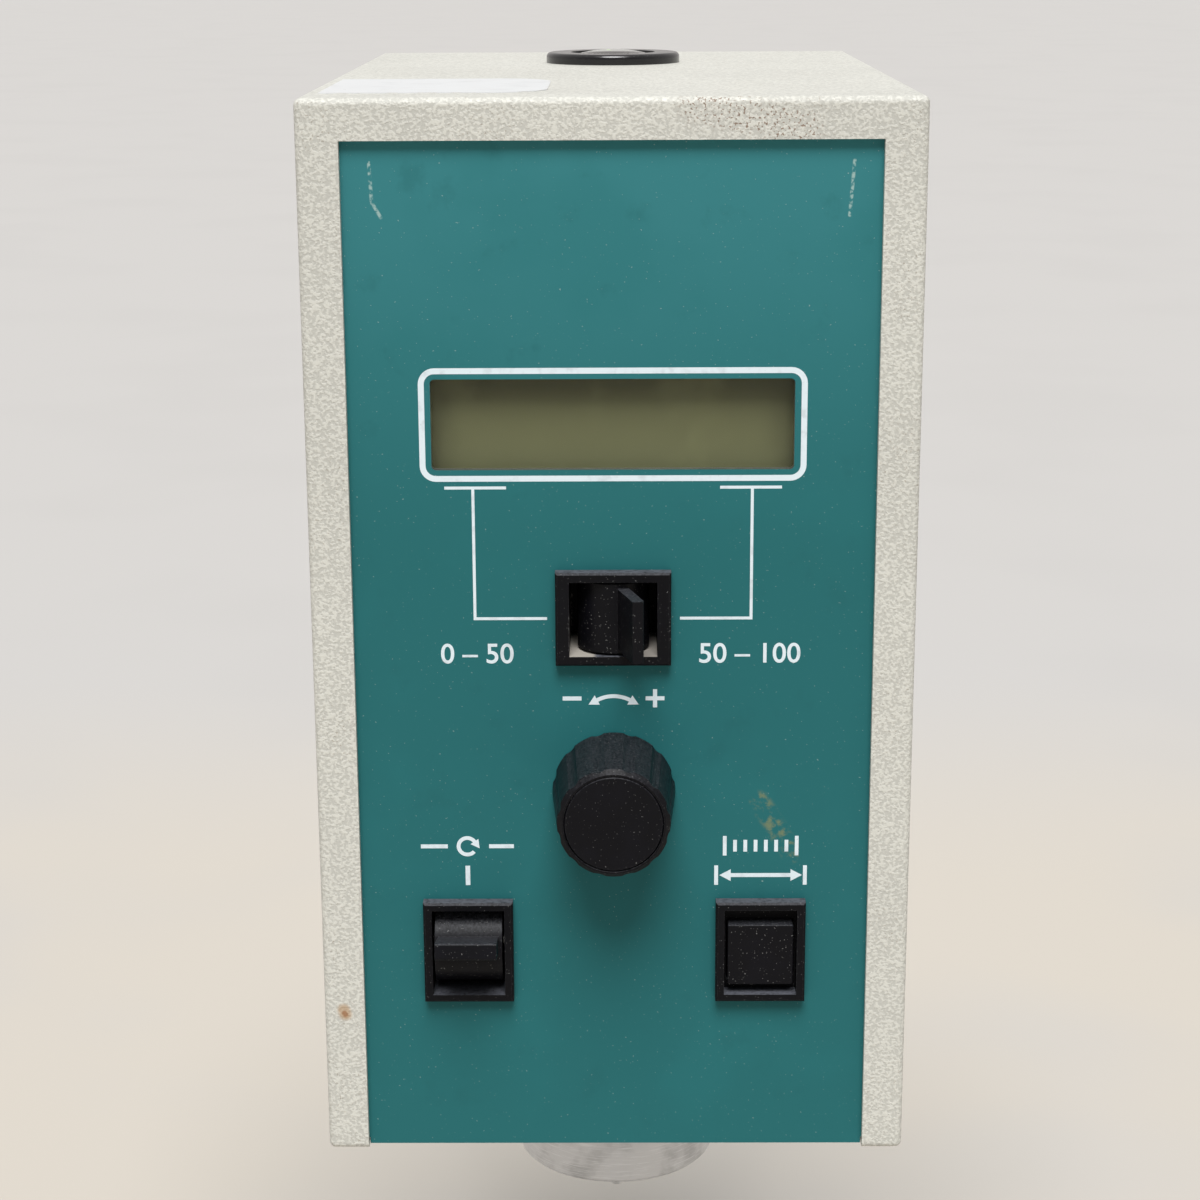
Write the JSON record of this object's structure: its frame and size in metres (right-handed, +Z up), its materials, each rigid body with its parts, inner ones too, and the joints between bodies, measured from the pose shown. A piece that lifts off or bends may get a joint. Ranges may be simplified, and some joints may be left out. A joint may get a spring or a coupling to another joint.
{
  "type": "rotational viscometer",
  "caption": "Rotational viscometer head: cream sheet cover, teal panel with display, switches and knob, spirit level on top, pivot cup below and mounting rod behind.",
  "frame": {"origin": "on the axis of the mounting rod, at the outer face of the rear panel", "axes": "+X to the right as seen from the front, +Y rearward along the mounting rod, +Z up"},
  "size_m": [0.1176, 0.2928, 0.2511],
  "materials": {
    "cover_paint": "fine wrinkle-textured cream paint, slightly worn",
    "panel_print": "satin teal film with pale print",
    "panel_plate": "brushed",
    "chassis_steel": "zinc plated sheet",
    "rear_paint": "fine wrinkle-textured cream paint",
    "display_lens": "clear, slightly smoky",
    "display_cell": "olive liquid crystal cell",
    "display_metal": "blackened sheet",
    "board_laminate": "green solder mask",
    "switch_black": "black, dusty in the corners",
    "paddle_black": "black, edges rubbed grey",
    "knob_black": "black moulded",
    "cap_black": "black disc, fine turned grain",
    "contact_metal": "tinned brass",
    "screw_steel": "nickel plated",
    "spacer_brass": "turned",
    "spring_steel": "bright spring steel",
    "rod_steel": "ground stainless",
    "block_aluminium": "milled",
    "cup_aluminium": "satin anodised, turned",
    "shaft_steel": "ground and polished",
    "gear_brass": "cut and lacquered",
    "bush_bronze": "sintered bronze",
    "jewel_ruby": "polished synthetic ruby",
    "stepper_black": "black end caps and laminations",
    "coil_copper": "varnished winding in resin",
    "rotor_aluminium": "turned",
    "transformer_iron": "varnished laminations and bobbin",
    "chip_black": "moulded",
    "level_black": "glossy black ring",
    "level_clear": "clear",
    "level_fluid": "pale yellow-green spirit",
    "inlet_black": "moulded"
  },
  "bodies": {
    "housing": {"board_components": "chip_black", "board_screws": "screw_steel", "board_spacers": "spacer_brass", "button_spring": "spring_steel", "chassis_tray": "chassis_steel", "cover": "cover_paint", "display_board": "board_laminate", "display_frame": "display_metal", "display_glass": "display_cell", "display_window": "display_lens", "drive_pillars": "block_aluminium", "drive_screws": "screw_steel", "encoder_body": "chassis_steel", "encoder_nut": "screw_steel", "encoder_washer": "screw_steel", "front_plate": "panel_plate", "housing_screws": "screw_steel", "inlet_blades": "contact_metal", "level_glass": "level_clear", "level_liquid": "level_fluid", "level_nut": "level_black", "level_ring": "level_black", "lower_drive_plate": "block_aluminium", "main_board": "board_laminate", "motor_switch_housing": "switch_black", "mounting_rod": "rod_steel", "panel_film": "panel_print", "pivot_cup": "cup_aluminium", "power_inlet": "inlet_black", "power_switch_housing": "switch_black", "range_button_housing": "switch_black", "rear_brackets": "chassis_steel", "rear_panel": "rear_paint", "rod_block": "block_aluminium", "selector_housing": "switch_black", "shaft_bushes": "bush_bronze", "stepper_motor": "stepper_black", "switch_pins": "screw_steel", "switch_terminals": "contact_metal", "transducer_bridge": "chassis_steel", "transducer_coil": "coil_copper", "transformer": "transformer_iron", "upper_drive_plate": "block_aluminium"},
    "knob": {"select_knob": "knob_black", "knob_cap": "cap_black", "encoder_shaft": "shaft_steel"},
    "selector": {"selector_paddle": "paddle_black"},
    "motor_lever": {"motor_paddle": "paddle_black"},
    "range_push": {"range_button": "paddle_black"},
    "rocker": {"power_rocker": "paddle_black"},
    "drive": {"drive_gear": "gear_brass", "drive_shaft": "shaft_steel", "jewel_bearing": "jewel_ruby", "torsion_spring": "spring_steel"},
    "pinion": {"drive_pinion": "shaft_steel"},
    "pivot": {"pivot_shaft": "shaft_steel", "spring_hub": "gear_brass", "transducer_rotor": "rotor_aluminium", "coupling_nut": "shaft_steel"}
  },
  "joints": [
    {"name": "knob_turn", "type": "hinge", "parent": "housing", "child": "knob", "pos_m": [0, -0.1834, 0.0149], "axis": [0, -1, 0], "continuous": true},
    {"name": "selector_throw", "type": "hinge", "parent": "housing", "child": "selector", "pos_m": [0, -0.1688, 0.04955], "axis": [0, 0, -1], "range_deg": [0, 32]},
    {"name": "motor_throw", "type": "hinge", "parent": "housing", "child": "motor_lever", "pos_m": [-0.0284, -0.1688, -0.01765], "axis": [1, 0, 0], "range_deg": [0, 28]},
    {"name": "range_press", "type": "slide", "parent": "housing", "child": "range_push", "axis": [0, 1, 0], "range_m": [0, 0.0025], "stiffness_N_per_m": 250, "springref_m": -0.002, "deforming": ["button_spring"]},
    {"name": "power_rock", "type": "hinge", "parent": "housing", "child": "rocker", "pos_m": [0.027, -0.0012, -0.033], "axis": [-1, 0, 0], "range_deg": [0, 24]},
    {"name": "drive_turn", "type": "hinge", "parent": "housing", "child": "drive", "pos_m": [0, -0.109, 0], "axis": [0, 0, 1], "continuous": true},
    {"name": "pinion_turn", "type": "hinge", "parent": "housing", "child": "pinion", "pos_m": [0, -0.0802, 0], "axis": [0, 0, 1], "continuous": true},
    {"name": "spindle_wind", "type": "hinge", "parent": "drive", "child": "pivot", "pos_m": [0, -0.109, 0], "axis": [0, 0, 1], "range_deg": [0, 80], "stiffness_Nm_per_rad": 0.000515, "deforming": ["torsion_spring"]}
  ],
  "couplings": [
    {"joint": "pinion_turn", "follows": "drive_turn", "ratio": -5}
  ]
}
